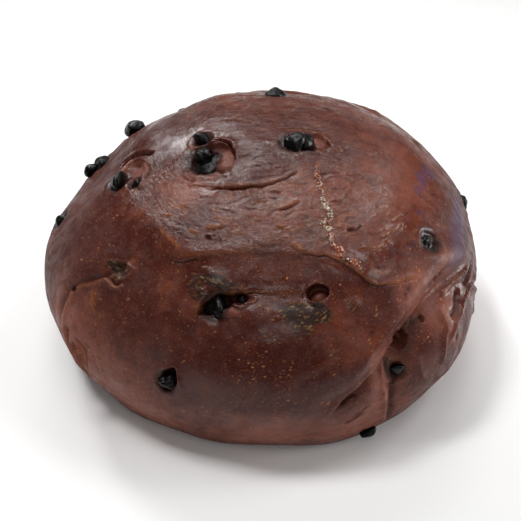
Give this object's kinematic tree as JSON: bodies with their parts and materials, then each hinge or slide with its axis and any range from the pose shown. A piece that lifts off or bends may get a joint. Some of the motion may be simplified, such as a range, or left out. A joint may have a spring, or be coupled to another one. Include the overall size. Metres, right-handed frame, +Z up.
{
  "type": "chocolate bread",
  "caption": "Round soft-crusted chocolate bun with chocolate chips baked into its folded, glossy brown skin.",
  "frame": {"origin": "middle of the flat underside that the bun rests on", "axes": "+Z up through the crown; -Y towards the front, where the skin has split; +X to the right"},
  "size_m": [0.1257, 0.1226, 0.0669],
  "materials": {
    "crust": "soft, thin, glossy chocolate-brown crust with fine wrinkles and pale specks",
    "chips": "dark chocolate, satin, slightly melted",
    "syrup": "baked amber sugar syrup, clear and glossy"
  },
  "bodies": {
    "root": {"chocolate_bread": "crust"}
  },
  "joints": []
}
